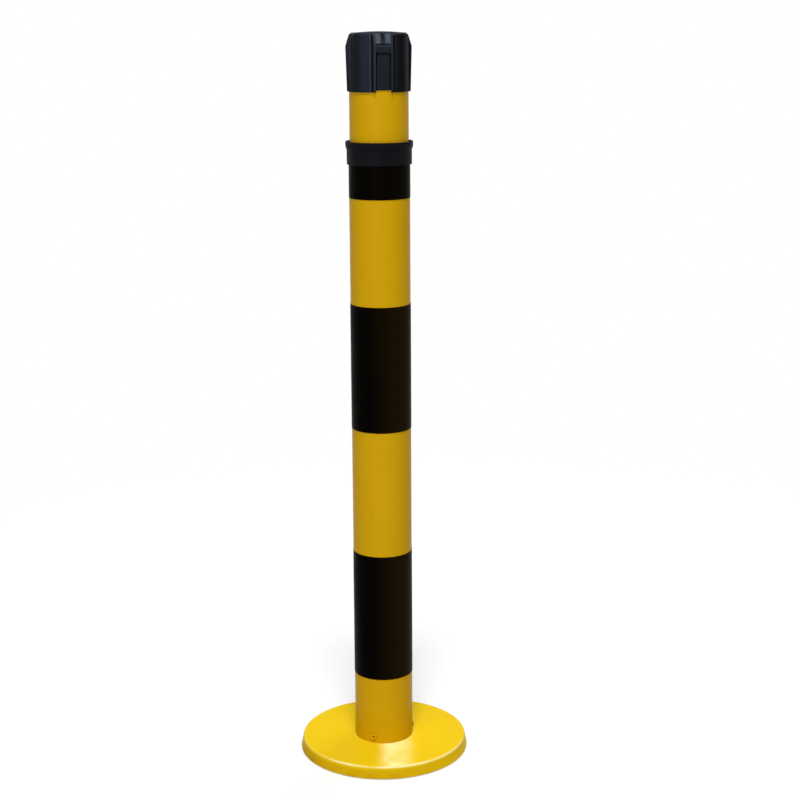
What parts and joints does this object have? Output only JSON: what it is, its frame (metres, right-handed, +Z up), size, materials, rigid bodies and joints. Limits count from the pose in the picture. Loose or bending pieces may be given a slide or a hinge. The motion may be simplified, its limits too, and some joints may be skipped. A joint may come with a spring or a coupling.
{
  "type": "retractable barrier bollard",
  "caption": "Banded post on a round weighted base, with a telescopic mast and a black head that holds a spring-wound belt and belt receivers.",
  "frame": {"origin": "on the floor, at the post's axis", "axes": "+Z up along the post, belt side of the head facing -Y"},
  "size_m": [0.225, 0.225, 0.952],
  "materials": {
    "yellow_paint": "gloss",
    "black_film": "satin",
    "black_plastic": "moulded",
    "clip_plastic": "moulded",
    "inner_plastic": "moulded",
    "rubber": "moulded",
    "cast_iron": "as cast",
    "steel": "plain",
    "belt_webbing": "woven"
  },
  "bodies": {
    "post": {"floor_ring": "rubber", "base_weight": "cast_iron", "base_cover": "yellow_paint", "tube_socket": "steel", "centre_bolt": "steel", "centre_washer": "steel", "centre_nut": "steel", "lower_tube": "yellow_paint", "tube_screws": "yellow_paint", "band_lower": "black_film", "band_middle": "black_film", "band_upper": "black_film", "collar": "black_plastic", "grip_ring": "rubber", "stop_rivet": "steel"},
    "mast": {"upper_tube": "yellow_paint", "guide_bush": "inner_plastic", "head_shell": "black_plastic", "head_cap": "black_plastic", "cassette_frame": "inner_plastic", "set_screws": "steel", "spool_axle": "steel", "axle_nut": "steel", "spool_clip": "steel", "spring_lid": "inner_plastic", "power_spring": "steel", "guide_pins": "steel"},
    "spool": {"belt_spool": "inner_plastic", "belt_roll": "belt_webbing"},
    "belt_end": {"clip_panel": "clip_plastic", "clip_pin": "steel", "belt_lead": "belt_webbing"}
  },
  "joints": [
    {"name": "mast_slide", "type": "slide", "parent": "post", "child": "mast", "axis": [0, 0, 1], "range_m": [-0.0645, 0.18]},
    {"name": "belt_pull", "type": "slide", "parent": "mast", "child": "belt_end", "axis": [0, -1, 0], "range_m": [0, 2], "stiffness_N_per_m": 1.5, "springref_m": -3, "deforming": ["belt_lead"]},
    {"name": "spool_spin", "type": "hinge", "parent": "mast", "child": "spool", "pos_m": [0, 0, 0.9], "axis": [0, 0, 1], "range_deg": [-5870, 0], "deforming": ["power_spring"]}
  ],
  "couplings": [
    {"joint": "spool_spin", "follows": "belt_pull", "rad_per_m": -51.2}
  ]
}
